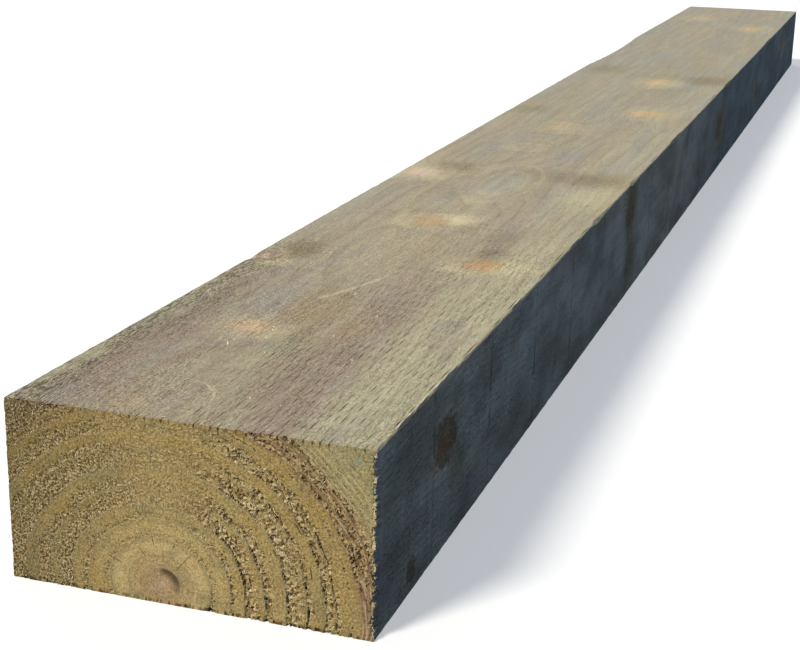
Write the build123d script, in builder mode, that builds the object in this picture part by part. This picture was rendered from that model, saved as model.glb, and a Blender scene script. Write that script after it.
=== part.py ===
"""A new softwood railway sleeper: one sawn length of boxed-heart timber, lying on its wide face.

Millimetres. X runs along the length, Y across the width and Z up, and the origin is in the middle of the bed face.
The solid keeps every mark that changes the outline: the eased arrises, the strip of wane where the round log
didn't quite fill the section, two splinters torn off beside a knot, and an edge knot that has broken out.
"""

import os

from build123d import *

# The sawn timber
sleeper_length = 2400.0
sleeper_width = 200.0
sleeper_height = 100.0
arris_radius = 1.0

# Wane along the +Y top arris, measured along the arris and in from it
wane_place_share = 0.675
wane_length = 380.0
wane_depth = 4.0

# Splinter torn off the -Y top arris on the near side of a knot, with its steep end towards the -X end
splinter_place_share = 0.2275
splinter_length = 96.0
splinter_depth = 2.2

# The shorter splinter torn off the same arris on the far side of that knot
short_splinter_place_share = 0.2885
short_splinter_length = 75.0
short_splinter_depth = 1.7

# Edge knot broken out of the +Y top arris
edge_knot_place_share = 0.131
edge_knot_length = 34.0
edge_knot_depth = 1.8

# A torn break drops steeply to its deepest place and then feathers out along the grain
break_drop_share = 0.1
break_bend_share = 0.55
break_bend_depth_share = 0.4

# How far a cutter reaches outside the arris and to each side of it, as a share of its depth
cutter_reach_share = 1.5

front = -1  # the -Y long side
back = 1  # the +Y long side


def arris_plane(place_share, side):
    """A plane on a top arris: X along the arris, Y straight in towards the heart, halfway between the faces."""
    along = (place_share - 0.5) * sleeper_length
    return Plane(origin=(along, side * sleeper_width / 2, sleeper_height), x_dir=(1, 0, 0), z_dir=(0, 1, -side))


with BuildPart() as sleeper:
    # The sawn section, drawn on the -X end and run out to the full length, with the four long arrises eased
    with BuildSketch(Plane.YZ.offset(-sleeper_length / 2)):
        Rectangle(sleeper_width, sleeper_height, align=(Align.CENTER, Align.MIN))
    extrude(amount=sleeper_length)
    long_arrises = sleeper.edges().filter_by(Axis.X)
    fillet(long_arrises, radius=min(arris_radius, sleeper_height / 3, sleeper_width / 3))

    # Wane: the log's own surface runs into the arris and out again in one long shallow arc
    with BuildSketch(arris_plane(wane_place_share, back)):
        with BuildLine():
            wane_reach = cutter_reach_share * wane_depth
            wane_start = (-wane_length / 2, 0)
            wane_end = (wane_length / 2, 0)
            ThreePointArc(wane_start, (0, wane_depth), wane_end)
            Polyline(wane_end, (wane_length / 2, -wane_reach), (-wane_length / 2, -wane_reach), wane_start)
        make_face()
    extrude(amount=wane_reach, both=True, mode=Mode.SUBTRACT)

    # The torn breaks, each a steep drop, a bend and a long feathered run
    for place_share, side, length, depth in (
        (splinter_place_share, front, splinter_length, splinter_depth),
        (short_splinter_place_share, front, short_splinter_length, short_splinter_depth),
        (edge_knot_place_share, back, edge_knot_length, edge_knot_depth),
    ):
        with BuildSketch(arris_plane(place_share, side)):
            with BuildLine():
                reach = cutter_reach_share * depth
                Polyline(
                    (-length / 2, 0),
                    (length * (break_drop_share - 0.5), depth),
                    (length * (break_bend_share - 0.5), depth * break_bend_depth_share),
                    (length / 2, 0),
                    (length / 2, -reach),
                    (-length / 2, -reach),
                    close=True,
                )
            make_face()
        extrude(amount=reach, both=True, mode=Mode.SUBTRACT)

sleeper.part.label = "sleeper"

os.makedirs("parts", exist_ok=True)
export_step(sleeper.part, "parts/sleeper.step")
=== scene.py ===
import math

import bmesh
import bpy
import numpy as np
from mathutils import Euler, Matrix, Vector, noise


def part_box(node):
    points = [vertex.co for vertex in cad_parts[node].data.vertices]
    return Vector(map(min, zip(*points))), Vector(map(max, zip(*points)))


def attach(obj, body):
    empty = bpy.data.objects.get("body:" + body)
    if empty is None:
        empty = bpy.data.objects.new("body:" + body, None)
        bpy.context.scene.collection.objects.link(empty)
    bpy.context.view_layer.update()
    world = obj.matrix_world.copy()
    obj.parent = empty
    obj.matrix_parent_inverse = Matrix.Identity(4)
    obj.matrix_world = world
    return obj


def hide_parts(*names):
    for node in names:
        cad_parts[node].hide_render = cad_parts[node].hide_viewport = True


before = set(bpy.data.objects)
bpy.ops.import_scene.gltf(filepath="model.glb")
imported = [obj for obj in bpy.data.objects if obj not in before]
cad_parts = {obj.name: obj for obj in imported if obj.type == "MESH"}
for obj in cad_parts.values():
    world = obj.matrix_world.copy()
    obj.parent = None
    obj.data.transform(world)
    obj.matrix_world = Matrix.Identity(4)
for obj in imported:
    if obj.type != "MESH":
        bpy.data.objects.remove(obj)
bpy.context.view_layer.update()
scene = bpy.context.scene
low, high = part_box("sleeper")
halfLength, halfWidth, height = high.x, high.y, high.z
mm = 0.001
wholeLength, halfAcross, wholeHeight = 2 * halfLength / mm, halfWidth / mm, height / mm  # in millimetres
print("frame loaded", [round(v, 4) for v in low], [round(v, 4) for v in high])


# node helpers: a value is a number, a tuple, a data block or a Wire

class Wire:  # a node's output, from which sums, spans and noise lead on to new nodes
    def __init__(self, socket):
        self.socket = socket
        self.tree = socket.id_data

    def work(self, operation, *values):
        return calc(self.tree, operation, self, *values)

    def times(self, factor, plus):
        return self.work("MULTIPLY_ADD", factor, plus)

    def __abs__(self):
        return self.work("ABSOLUTE")

    def length(self):
        return self.work("LENGTH")

    def parts(self):
        return [Wire(socket) for socket in put(self.tree, "ShaderNodeSeparateXYZ", [self]).outputs]

    def span(self, fromLow, fromHigh, toLow=0.0, toHigh=1.0, smooth=True):
        kind = "SMOOTHSTEP" if smooth else "LINEAR"
        ends = [self, fromLow, fromHigh, toLow, toHigh]
        return out(put(self.tree, "ShaderNodeMapRange", ends, interpolation_type=kind))

    def rise(self, begin, stop, top=1.0):
        return self.span(begin, stop, 0.0, top)

    def fall(self, begin, stop, top=1.0):
        return self.span(begin, stop, top, 0.0)

    def sway(self, most, least=None):  # a noise's middle half as a straight run either side of nothing
        return self.span(0.25, 0.75, -most if least is None else least, most, False)

    def cloud(self, scale=1.0, detail=2.0, roughness=0.5, output=0):
        inputs = {"Vector": self, "Scale": scale, "Detail": detail, "Roughness": roughness}
        return out(put(self.tree, "ShaderNodeTexNoise", inputs), output)

    def streak(self, along, across, detail=2.0, roughness=0.5, shift=0.0):  # noise drawn out along the grain
        size = (1 / along, 1 / across, 1 / across)
        return self.times(size, (shift, shift, shift)).cloud(1.0, detail, roughness)

    def mix(self, share, colour, kind="MIX"):
        return blend(self.tree, share, self, colour, kind)


def put(tree, kind, inputs=(), **settings):
    node = tree.nodes.new(kind)
    for name, value in settings.items():
        setattr(node, name, value)
    for key, value in inputs.items() if isinstance(inputs, dict) else enumerate(inputs):
        feed(node.inputs[key], value)
    return node


def out(node, key=0):
    return Wire(node.outputs[key])


def feed(socket, value):
    if isinstance(value, Wire):
        socket.id_data.links.new(value.socket, socket)
    elif value is not None:
        socket.default_value = paint(value) if socket.type == "RGBA" else value


def isVector(value):
    return isinstance(value, tuple) or isinstance(value, Wire) and value.socket.type == "VECTOR"


def calc(tree, operation, *values):  # one math node, of vectors where a value is one
    if not any(isVector(value) for value in values):
        return out(put(tree, "ShaderNodeMath", values, operation=operation))
    if operation == "MULTIPLY" and not isVector(values[1]):
        return out(put(tree, "ShaderNodeVectorMath", {0: values[0], "Scale": values[1]}, operation="SCALE"))
    result = "Value" if operation in ("LENGTH", "DOT_PRODUCT") else "Vector"
    return out(put(tree, "ShaderNodeVectorMath", values, operation=operation), result)


def sign(operation, swapped=False):  # what a plus or a less-than between two values makes
    def work(first, second):
        pair = (second, first) if swapped else (first, second)
        return calc(first.tree, operation, *pair)
    return work


for mark, operation in (("add", "ADD"), ("sub", "SUBTRACT"), ("mul", "MULTIPLY"), ("truediv", "DIVIDE")):
    setattr(Wire, f"__{mark}__", sign(operation))
    setattr(Wire, f"__r{mark}__", sign(operation, swapped=True))
Wire.__lt__, Wire.__gt__ = sign("LESS_THAN"), sign("GREATER_THAN")


def combine(tree, x, y, z):
    return out(put(tree, "ShaderNodeCombineXYZ", (x, y, z)))


def blend(tree, share, first, second, kind="MIX"):
    inputs = {0: share, 6: first, 7: second}
    return out(put(tree, "ShaderNodeMix", inputs, data_type="RGBA", blend_type=kind), 2)


def paint(colour):  # an sRGB colour, 0 to 255, as Blender's linear colour
    if len(colour) == 4:  # it is one already
        return colour
    parts = [v / 255 for v in colour]
    return tuple(v / 12.92 if v <= 0.04045 else ((v + 0.055) / 1.055) ** 2.4 for v in parts) + (1.0,)


def ramp(value, stops, kind="LINEAR"):
    node = put(value.tree, "ShaderNodeValToRGB", [value])
    node.color_ramp.interpolation = kind
    points = node.color_ramp.elements
    while len(points) < len(stops):
        points.new(0.5)
    for point, (spot, colour) in zip(points, stops):
        point.position = spot
        point.color = colour
    return out(node)


def shades(value, stops, scale=1.0):  # colours over value, which runs up to scale
    return ramp(value / scale, [(spot / scale, paint(colour)) for spot, colour in stops])


def steps(value, levels):  # one level for each whole number of value
    count = len(levels)
    stops = [(i / count, (level, level, level, 1.0)) for i, level in enumerate(levels)]
    return ramp((value + 0.5) / float(count), stops, "CONSTANT")


def curve(value, points):  # straight between points, which are in their own units
    xs, ys = zip(*points)
    first, last, lowest, highest = xs[0], xs[-1], min(ys), max(ys)
    node = put(value.tree, "ShaderNodeFloatCurve", {"Value": value.span(first, last, smooth=False)})
    line = node.mapping.curves[0]
    while len(line.points) < len(points):
        line.points.new(0.5, 0.5)
    for point, (x, y) in zip(line.points, points):
        point.location = ((x - first) / (last - first), (y - lowest) / (highest - lowest))
        point.handle_type = "VECTOR"
    node.mapping.update()
    return out(node).span(0.0, 1.0, lowest, highest, False)


def group(name, kind, inputs):  # inputs are given as "Name Kind, Other Name Kind" and come back as wires
    tree = bpy.data.node_groups.new(name, kind)
    for title, socketKind in (item.rsplit(" ", 1) for item in inputs.split(", ")):
        tree.interface.new_socket(title, in_out="INPUT", socket_type="NodeSocket" + socketKind)
    return tree, *(Wire(socket) for socket in tree.nodes.new("NodeGroupInput").outputs[:-1])


def finishGroup(tree, **results):
    kinds = {"VALUE": "Float", "VECTOR": "Vector", "RGBA": "Color", "GEOMETRY": "Geometry"}
    for name, value in results.items():
        kind = "NodeSocket" + kinds[value.socket.type]
        tree.interface.new_socket(name, in_out="OUTPUT", socket_type=kind)
    put(tree, "NodeGroupOutput", results)
    return tree


def place(tree, grouped, **values):
    kind = "GeometryNodeGroup" if tree.bl_idname == shapeKind else "ShaderNodeGroup"
    return {socket.name: Wire(socket) for socket in put(tree, kind, values, node_tree=grouped).outputs}


shapeKind, lookKind = "GeometryNodeTree", "ShaderNodeTree"
middleGrey = (0.5, 0.5, 0.5)  # the middle of a noise's colour
endFlat = (0.02, 1.0, 1.0)  # noise on the ends hardly changes along the grain

# the tree inside the timber, in millimetres: rings round a pith that wanders a little along the length
heart = {
    "pith": (13.3, 10.8),
    "wanderSide": ((0, 0), (600, 6), (1200, 2), (1800, 7), (2400, -2)),  # along, then sideways
    "wanderUp": (
        (0, 0), (110, -1), (240, -3.2), (345, 0.5), (550, 0.3), (800, -2), (1150, 1.5), (1500, -1),
        (2000, 2), (2400, -1),
    ),
    "stretchLeft": 1.2,
    "stretchRight": 1.08,
    "outermost": 150,
    "branchLean": 12,  # how much nearer the near end a branch began
    "ringEnds": (
        (0, 0), (9, 1), (16, 2), (24.5, 3), (35, 4), (42.5, 5), (52.5, 6), (63.5, 7), (73, 8), (81.5, 9),
        (86, 10), (93.5, 11), (97.5, 12), (101.5, 13), (106, 14), (113, 15), (121, 16), (150, 20),
    ),
    "tornShares": (
        0, 0, 0.05, 0.25, 0.3, 0.74, 0.4, 0.84, 0.3, 0.85, 0.35, 0.05, 0.62, 0.6, 0.5, 0.08, 0.06, 0.05,
        0.05, 0.05,
    ),
    "bites": ((-12.5, 4.6), (-71, 2)),  # torn out of the near end's bottom edge: middle, half width
}


def pithAt(station):  # the pith's Y and Z, station millimetres from the near end
    return [middle + float(np.interp(station, *zip(*heart[name])))
            for middle, name in zip(heart["pith"], ("wanderSide", "wanderUp"))]


def growthRings(kind):
    tree, where, warp = group("growthRings", kind, "Place Vector, Warp Float")
    x, y, z = where.parts()
    along = x + wholeLength / 2
    side, up = (value - (curve(along, heart[wander]) + middle)
                for value, middle, wander in zip((y, z), heart["pith"], ("wanderSide", "wanderUp")))
    stretch = side.span(-8, 8, heart["stretchRight"], heart["stretchLeft"])
    plain = combine(tree, side / stretch, up, 0).length()
    radius = plain + (where.streak(240, 42) - 0.5) * plain.span(5, 60, 1, 9) + warp
    ring = curve(radius, heart["ringEnds"])
    band = ring.work("FRACT")

    # the share of each ring that the saw tore
    lean = abs(side) / (plain + 1)
    share = steps(ring.work("FLOOR"), heart["tornShares"]) + lean.fall(0.2, 0.7, 0.18)  # more over the pith
    share = (where.streak(30, 16) - 0.5).times(0.9, share) + side.rise(10, 70, 0.12)
    share = share + radius.rise(90, 98) * side.rise(20, 60) * 0.55  # the outer rings on the left
    past = (where.streak(30, 1.4, 1, 0.5, 11) - 0.5).times(0.75, band) - share
    soft = band.rise(0, 0.08) * radius.rise(18, 30) * past.fall(-0.4, 0.34) * radius.span(107, 112, 1, 0.4)
    soft = soft * (1 - radius.rise(94, 97) * up.fall(12, 26, 0.8))  # calm low in the tight rings
    dither = where.streak(30, 1.2, 1, 0.5, 23) - 0.5
    torn = dither.times(1.5, soft).rise(0.28, 0.72) * lean.span(0.15, 0.65, 0.5, 1)
    line = band.work("MINIMUM", 1 - band).fall(0, 0.09)
    gap = (band.rise(0.01, 0.04) * band.fall(0.07, 0.14) * torn * radius.rise(30, 44) * side.fall(-38, -18)
           * where.streak(30, 7, 1, 0.5, 5).rise(0.46, 0.6))
    return finishGroup(tree, Radius=radius, Band=band, Torn=torn, Line=line, Gap=gap, Side=side, Up=up)


def tornDepth(kind):  # how deep the saw has torn an end face, in millimetres
    tree, where, torn, gap, side = group(
        "tornDepth", kind, "Place Vector, Torn Float, Gap Float, Side Float")
    x, y, z = where.parts()
    flat = where * endFlat
    grit = flat.cloud(0.84, 3, 0.6).rise(0.38, 0.62)
    stir = flat.cloud(0.8, output=1) - middleGrey
    chunks = put(tree, "ShaderNodeTexVoronoi", {"Vector": stir.times((0, 2.4, 2.4), flat), "Scale": 0.74})
    coarse = side.span(-36, 4, 1, 0.25)
    crumb = grit * (1 - coarse) + out(chunks, "Color").parts()[0] * coarse
    deep = crumb * coarse.span(0.25, 1, 0.8, 1.35) * torn
    reach = (flat.cloud(0.55, 1) - 0.5).times(3, y + halfAcross)  # in from the right edge, unevenly
    fray = reach.fall(0, 2.8) * flat.cloud(0.3).rise(0.36, 0.56) * z.rise(1, 4) * z.fall(96, 99)
    depth = gap.times(1.3, deep + flat.cloud(0.9) * 0.16 + fray * 0.9)
    bite = 0
    for middle, half in heart["bites"]:
        bite = abs(y - middle).fall(0.4 * half, half).work("MAXIMUM", bite)
    bite = bite * z.fall(0.8, 2.4) * (x < 0)
    return finishGroup(tree, Depth=bite.times(0.5, depth), Crumb=crumb, Fray=fray, Bite=bite)


ringsShape, ringsLook = growthRings(shapeKind), growthRings(lookKind)
tearShape, tearLook = tornDepth(shapeKind), tornDepth(lookKind)
print("growth rings described")


# the incising: rows of knife slits that let the preservative in, on all four long faces
incising = {
    "pitchAlong": 15.9,  # millimetres, as all lengths here
    "pitchAcross": 4.4,
    "first": 0.8,
    "keepOff": 5.0,
    "slitLength": 13.2,
    "slitWidth": 0.31,
    "slitDepth": 3.2,
    "openAbove": 0.66,  # strength past which a slit stands open
    "shift": (3.0, 0.8),
    "patch": (70.0, 24.0),
}
pitchAlong, pitchAcross, firstSlit = (incising[name] for name in ("pitchAlong", "pitchAcross", "first"))
slitColumns = int((wholeLength + 2 - firstSlit) / pitchAlong) + 1
wideRows, narrowRows = (int((across / mm - 2 * incising["keepOff"]) / pitchAcross)
                        for across in (2 * halfWidth, height))


def slitPlan(kind):  # what each slit of the lattice is like, the same for its cutter and for its colour
    tree, cell = group("slitPlan", kind, "Cell Vector")
    dice = put(tree, "ShaderNodeTexWhiteNoise", {"Vector": cell}, noise_dimensions="3D")
    roll, scatter = out(dice, "Value"), out(dice, "Color")
    patchSize = (pitchAlong / incising["patch"][0], pitchAcross / incising["patch"][1], 7.3)
    column, row, face = cell.parts()
    strength = roll.times(0.6, (cell * patchSize).cloud(1, 1).rise(0.3, 0.7, 0.4))
    strength = (face < 0.5).times(row.span(19, 24, 0.2, -0.18), strength)  # closed up on the top's left
    strength = strength - column.rise(9, 34, 0.38)
    atEnd = (face < 1.5) * (column < 0.5)  # the near end's saw cut runs through them
    strength = strength.work("MAXIMUM", atEnd * roll.times(0.36, 0.42))
    shift = (scatter - middleGrey) * (*incising["shift"], 0)
    return finishGroup(tree, Strength=strength, Shift=shift,
                       Length=scatter.parts()[2].span(0, 1, 0.75, 1.15, False))


def stagger(column):  # every other column of slits is half a row over
    return column.work("MODULO", 2.0).times(0.5, -0.25)


planShape, planLook = slitPlan(shapeKind), slitPlan(lookKind)


# the sawn timber, closed, with a fine grid on each end and ragged arrises
timber = {
    "nearCell": 0.7,  # millimetres, as all lengths here
    "farCell": 1.7,
    "nearStation": 5.0,
    "farStation": 12.0,
    "fineUntil": 760.0,
    "firstStation": 6.0,
    "lastShare": 0.6,  # of a far station, left free before the far end
    "cornerCut": 0.3,
    "easing": 0.75,
    "wander": 0.55,
    "waves": ((14, 0, 4.5, 9), (11, 4, 5, 17)),  # each set-back's broad and fine wave, length and seed
    "fineShare": 0.6,
    "leastCut": 0.25,
    "arrisShares": (0.68, 0.28),  # where the arris's middle lies on its two set-backs
    "strip": 5.0,
    "fraySide": 1.7,
    "sunk": 0.3,  # the top's sawn level under its standing fuzz
    "wane": (0.675, 380.0, 4.0),  # share of the length, then its own length and depth
    "splinters": ((0.2275, 96.0, 2.2), (0.2885, 75.0, 1.7)),
    "edgeKnot": (0.131, 34.0, 1.8),
    "breakShares": (0.1, 0.55, 0.4),
    "tornSteep": 3.6,
    "tornWave": (9, 21),  # length and seed
    "tornRise": 6,  # over which a tear sets in
    "tornFront": (
        (2, 14, 0.25), (33, 52, 0.5), (63, 84, 0.4), (97, 134, 0.6), (146, 158, 0.3), (252, 280, 0.6),
        (420, 450, 0.5), (880, 950, 0.8), (1310, 1370, 0.8), (1820, 1900, 0.9),
    ),  # from, to, depth
    "tornBack": ((84, 120, 0.4), (560, 640, 0.4), (1010, 1050, 0.6), (2050, 2140, 0.6)),
    "cracks": (
        (26, 22, 2.5), (52, 14, 2.2), (82, 22, 2.8), (103, 26, 2.6), (142, 40, 1.9), (206, 30, 1.6),
        (244, 30, 2.4), (322, 28, 1.7), (362, 48, 2), (455, 36, 1.6), (760, 50, 1.8), (1180, 60, 2),
    ),
    "crackSize": (0.6, 2.4),  # width, depth
}
topLevel = height - timber["sunk"] * mm


def waneDepth(x, feature):
    spot, length, depth = feature
    half = length / 2
    away = abs(x - spot * wholeLength)
    bow = (half * half + depth * depth) / (2 * depth)
    return math.sqrt(bow * bow - away * away) - (bow - depth) if away < half else 0.0


def breakDepth(x, feature):
    spot, length, depth = feature
    drop, bend, bendDepth = timber["breakShares"]
    t = (x - spot * wholeLength) / length + 0.5
    return float(np.interp(t, (0.0, drop, bend, 1.0), (0.0, depth, depth * bendDepth, 0.0), 0.0, 0.0))


def setBack(x, side, top):  # how far the arris is cut back along each of its two faces, in millimetres
    seed = 31.0 * side + 57.0 * top

    def wave(length, shift):
        return noise.noise((x / length, seed, shift))

    rough, other = (wave(*row[:2]) + timber["fineShare"] * wave(*row[2:]) for row in timber["waves"])
    least, easing, wander = (timber[name] for name in ("leastCut", "easing", "wander"))
    onFlat, onSide = (max(least, easing + wander * v) for v in (rough, other))
    if top:
        for begin, stop, deep in timber["tornFront" if side < 0 else "tornBack"]:
            inside = min(1.0, max(0.0, min(x - begin, stop - x) / timber["tornRise"]))
            tear = deep * inside * (0.75 + 0.5 * wave(*timber["tornWave"]))
            onFlat, onSide = onFlat + tear, onSide + timber["tornSteep"] * tear
        features = [(waneDepth, timber["wane"]), (breakDepth, timber["edgeKnot"])]
        if side < 0:
            features = [(breakDepth, splinter) for splinter in timber["splinters"]]
        for shape, feature in features:
            cut = math.sqrt(2) * shape(x, feature)
            rag = 0.3 * min(cut, 2.0)
            onFlat, onSide = max(onFlat, cut + rag * rough), max(onSide, cut + rag * other)
    return onFlat, onSide


def sawnTimber():
    built = bmesh.new()
    endSide = built.verts.layers.float.new("endSide")
    endFace = built.faces.layers.int.new("endFace")
    corner = timber["cornerCut"] * mm
    flatShare, sideShare = timber["arrisShares"]

    def quads(one, two):  # faces between two rows of points
        return [built.faces.new((one[k], one[k + 1], two[k + 1], two[k])) for k in range(len(one) - 1)]

    def endGrid(x, cell, which):
        ny, nz = round(2 * halfWidth / (cell * mm)), round(topLevel / (cell * mm))
        rows = []
        for j in range(nz + 1):
            row = []
            for i in range(ny + 1):
                y, z = -halfWidth + 2 * halfWidth * i / ny, topLevel * j / nz
                if i in (0, ny) and j in (0, nz):  # the arris itself
                    y -= math.copysign(corner, y)
                    z += corner if j == 0 else -corner
                vert = built.verts.new((x, y, z))
                vert[endSide] = which
                row.append(vert)
            rows.append(row)
        for face in sum((quads(rows[j], rows[j + 1]) for j in range(nz)), []):
            face[endFace] = 1
        return rows

    near = endGrid(-halfLength, timber["nearCell"], -1.0)
    far = endGrid(halfLength, timber["farCell"], 1.0)
    stations, x = [], timber["firstStation"]
    while x < wholeLength - timber["farStation"] * timber["lastShare"]:
        stations.append(x)
        x += timber["nearStation"] if x < timber["fineUntil"] else timber["farStation"]

    lines = {}
    for side in (-1, 1):
        for top in (0, 1):
            edgeZ, inward = (topLevel, -1) if top else (0.0, 1)
            rails = [], [], []  # on the wide face, on the arris and on the narrow face
            for x in stations:
                a, b = (v * mm for v in setBack(x, side, top))
                for rail, back, down in zip(rails, (a, flatShare * a, 0.0), (0.0, sideShare * b, b)):
                    spot = (x * mm - halfLength, side * (halfWidth - back), edgeZ + inward * down)
                    rail.append(built.verts.new(spot))
            for rows, atEnd in ((near, False), (far, True)):
                j, j2 = (-1, -2) if top else (0, 1)
                i, i2 = (0, 1) if side < 0 else (-1, -2)
                for rail, vert in zip(rails, (rows[j][i2], rows[j][i], rows[j2][i])):
                    rail.insert(len(rail) if atEnd else 0, vert)
            lines[side, top] = rails
            quads(rails[0], rails[1])
            quads(rails[1], rails[2])

    for top in (0, 1):  # the two wide faces
        j = -1 if top else 0
        built.faces.new(lines[-1, top][0] + far[j][2:-2] + lines[1, top][0][::-1] + near[j][2:-2][::-1])
    for side in (-1, 1):  # the two narrow faces, each with a strip beside the near end's fraying edge
        i = 0 if side < 0 else -1
        farColumn, nearColumn = ([row[i] for row in rows][2:-2] for rows in (far, near))
        lowRail, highRail = lines[side, 0][2], lines[side, 1][2]
        stripX, stripY = timber["strip"] * mm - halfLength, side * halfWidth
        strip = [built.verts.new((stripX, stripY, vert.co.z)) for vert in nearColumn]
        quads([lowRail[0]] + nearColumn + [highRail[0]], [lowRail[1]] + strip + [highRail[1]])
        built.faces.new(lowRail[1:] + farColumn + highRail[:0:-1] + strip[::-1])

    mesh = bpy.data.meshes.new("sawnTimber")
    keepOutward(built, mesh)
    return mesh


def keepOutward(built, mesh):  # faces point out of the closed shape
    bmesh.ops.recalc_face_normals(built, faces=built.faces)
    built.to_mesh(mesh)
    built.free()


def helper(name, mesh):  # an object that only feeds a node tree
    item = bpy.data.objects.new(name, mesh)
    scene.collection.objects.link(item)
    return item


def helperShape(name, verts, faces):
    mesh = bpy.data.meshes.new(name)
    mesh.from_pydata(verts, [], faces)
    built = bmesh.new()
    built.from_mesh(mesh)
    keepOutward(built, mesh)
    return helper(name, mesh)


def pointMesh(name, spots, **columns):  # loose points with a number of each kind
    mesh = bpy.data.meshes.new(name)
    mesh.from_pydata(spots, [], [])
    for title, values in columns.items():
        mesh.attributes.new(title, "FLOAT", "POINT").data.foreach_set("value", values)
    return mesh


def slitCutter():  # a knife point 1 long, 1 wide and 1 deep at the surface, and closed above it
    above, wide, long, foot = 0.25, 0.625, 0.55, 0.3
    verts = [(long, 0, above), (0, wide, above), (-long, 0, above), (0, -wide, above)]
    verts += [(foot, 0, -1), (-foot, 0, -1)]
    faces = [(0, 1, 3), (1, 2, 3), (1, 0, 4), (1, 4, 5), (2, 1, 5), (3, 2, 5), (3, 5, 4), (0, 3, 4)]
    return helperShape("slitCutter", verts, faces)


def crackPoints():  # cracks beside the torn front arris
    spots = [((begin + length / 2) * mm - halfLength, inset * mm - halfWidth, topLevel)
             for begin, length, inset in timber["cracks"]]
    runs = [row[1] * mm for row in timber["cracks"]]
    return helper("crackPoints", pointMesh("crackPoints", spots, run=runs))


def readAttribute(tree, name, kind="FLOAT"):
    return out(put(tree, "GeometryNodeInputNamedAttribute", {"Name": name}, data_type=kind), "Attribute")


def position(tree):
    return out(put(tree, "GeometryNodeInputPosition"))


def moveTo(geometry, **values):
    return out(put(geometry.tree, "GeometryNodeSetPosition", {"Geometry": geometry, **values}))


def objectShape(item):
    return out(put(item.tree, "GeometryNodeObjectInfo", {"Object": item}), "Geometry")


def instances(points, item, scale, **values):
    inputs = {"Points": points, "Instance": objectShape(item), "Scale": scale, **values}
    return out(put(points.tree, "GeometryNodeInstanceOnPoints", inputs))


def wear(geometry, material, selection=None):
    inputs = {"Geometry": geometry, "Material": material, "Selection": selection}
    return out(put(geometry.tree, "GeometryNodeSetMaterial", inputs))


def realized(geometry):
    return out(put(geometry.tree, "GeometryNodeRealizeInstances", [geometry]))


def keepInside(geometry):  # nothing stands out of the timber's box
    spot = position(geometry.tree).work("MAXIMUM", tuple(low)).work("MINIMUM", tuple(high))
    return moveTo(geometry, Position=spot)


def tornEnds(tree, sawn):  # the timber with its ends torn back, and the fields that say where
    where = position(tree) * (1 / mm)
    rings = place(tree, ringsShape, Place=where)
    tear = place(tree, tearShape, Place=where, **{name: rings[name] for name in ("Torn", "Gap", "Side")})
    endSide = readAttribute(tree, "endSide")
    inward = tear["Depth"] * endSide * -mm
    sideways = tear["Fray"] * where.parts()[1].work("SIGN") * (endSide < -0.5) * (-timber["fraySide"] * mm)
    return moveTo(sawn, Offset=combine(tree, inward, sideways, 0.0)), rings["Torn"], tear["Fray"], endSide


def slitLattice():  # the open slits of one face, lying in the XY plane with the wood below
    tree, knife, rows, columns, face, openAbove = group(
        "slitLattice", shapeKind, "Cutter Object, Rows Int, Columns Int, Face Float, Threshold Float")
    points = out(put(tree, "GeometryNodePoints", {"Count": rows * columns}))
    index = out(put(tree, "GeometryNodeInputIndex"))
    column = ((index + 0.5) / rows).work("FLOOR")
    row = index - column * rows
    strength, shift, long = place(tree, planShape, Cell=combine(tree, column, row, face)).values()
    along = column.times(pitchAlong, firstSlit - wholeLength / 2)
    across = (row - (rows - 1) * 0.5 + stagger(column)) * pitchAcross
    spot = (combine(tree, along, across, 0) + shift) * mm
    opening = strength.span(openAbove, 1, 0.55, 1.6, False)
    size = combine(tree, *(wire * (incising[name] * mm) for wire, name in (
        (long, "slitLength"), (opening, "slitWidth"), (opening, "slitDepth"))))
    placed = moveTo(points, Position=spot)
    return finishGroup(tree, Cutters=instances(placed, knife, size, Selection=strength > openAbove))


def incisedTimber():
    tree, sawn, knife, crackSpots, openAbove, *woods = group(
        "incisedTimber", shapeKind, "Timber Geometry, Cutter Object, Cracks Object, Threshold Float, "
        "Top Wood Material, Bed Wood Material, Front Wood Material, Back Wood Material, End Wood Material, "
        "Slit Wood Material")
    ny, nz = out(put(tree, "GeometryNodeInputNormal")).parts()[1:]
    narrow, isEnd = abs(ny) > abs(nz), readAttribute(tree, "endFace", "INT") > 0.5
    wood = wear(tornEnds(tree, sawn)[0], woods[0])
    for material, chosen in zip(woods[1:], (nz < 0, narrow * (ny < 0), narrow * (ny > 0), isEnd)):
        wood = wear(wood, material, chosen)

    lattice = slitLattice()
    gather = put(tree, "GeometryNodeJoinGeometry")
    for face, (rows, turn, spot) in enumerate((
            (wideRows, 0, (0, 0, topLevel)), (wideRows, math.pi, (0, 0, 0)),
            (narrowRows, math.pi / 2, (0, -halfWidth, height / 2)),
            (narrowRows, -math.pi / 2, (0, halfWidth, height / 2)))):
        cutters = place(tree, lattice, Cutter=knife, Rows=rows, Columns=slitColumns, Face=face,
                        Threshold=openAbove)["Cutters"]
        moves = {"Geometry": cutters, "Rotation": (turn, 0, 0), "Translation": spot}
        feed(gather.inputs[0], out(put(tree, "GeometryNodeTransform", moves)))
    crackSize = combine(tree, readAttribute(tree, "run"), *(size * mm for size in timber["crackSize"]))
    feed(gather.inputs[0], instances(objectShape(crackSpots), knife, crackSize))

    meshes = {"Mesh 1": wood, "Mesh 2": wear(realized(out(gather)), woods[-1])}
    cut = put(tree, "GeometryNodeMeshBoolean", meshes, operation="DIFFERENCE", solver="MANIFOLD")
    return finishGroup(tree, Geometry=out(cut, "Mesh"))


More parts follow.
